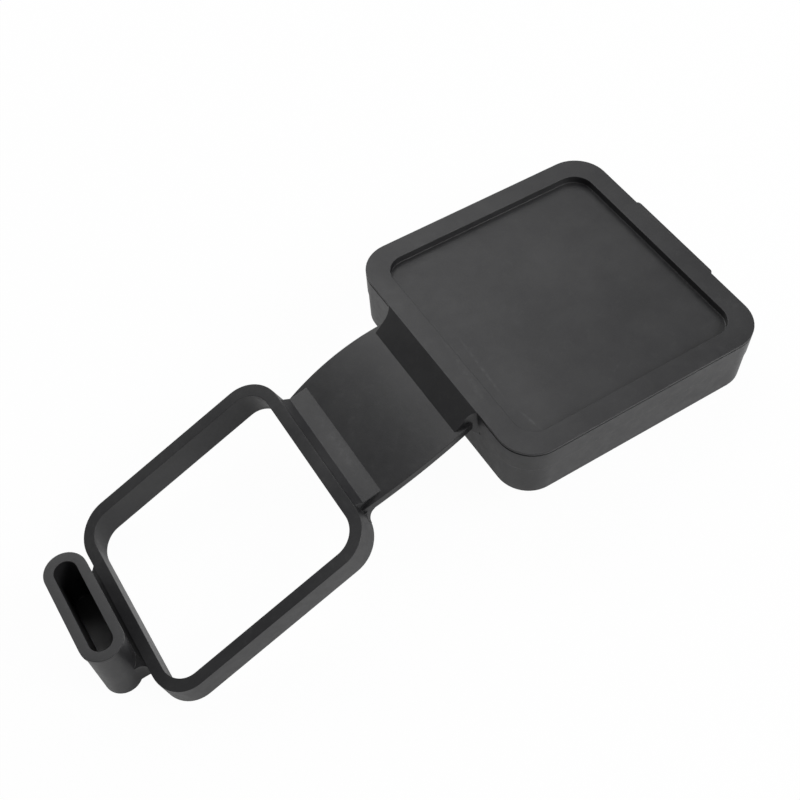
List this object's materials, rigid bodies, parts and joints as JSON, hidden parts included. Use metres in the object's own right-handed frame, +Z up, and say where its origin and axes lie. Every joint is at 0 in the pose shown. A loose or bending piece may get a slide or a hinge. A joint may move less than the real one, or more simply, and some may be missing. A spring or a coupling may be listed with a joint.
{
  "type": "hitch receiver cover",
  "caption": "Black rubber hitch receiver cover: a square cap, a curved strap, a ring that grips the receiver tube and a pocket for a flat wiring plug.",
  "frame": {"origin": "centre of the bounding box at the height of the floor that the cover lies on", "axes": "+X along the cover from the ring to the cap, +Z up from the floor, +Y across the cover"},
  "size_m": [0.2086, 0.086, 0.0341],
  "materials": {
    "rubber": "satin"
  },
  "bodies": {
    "root": {"receiver_cover": "rubber"}
  },
  "joints": []
}
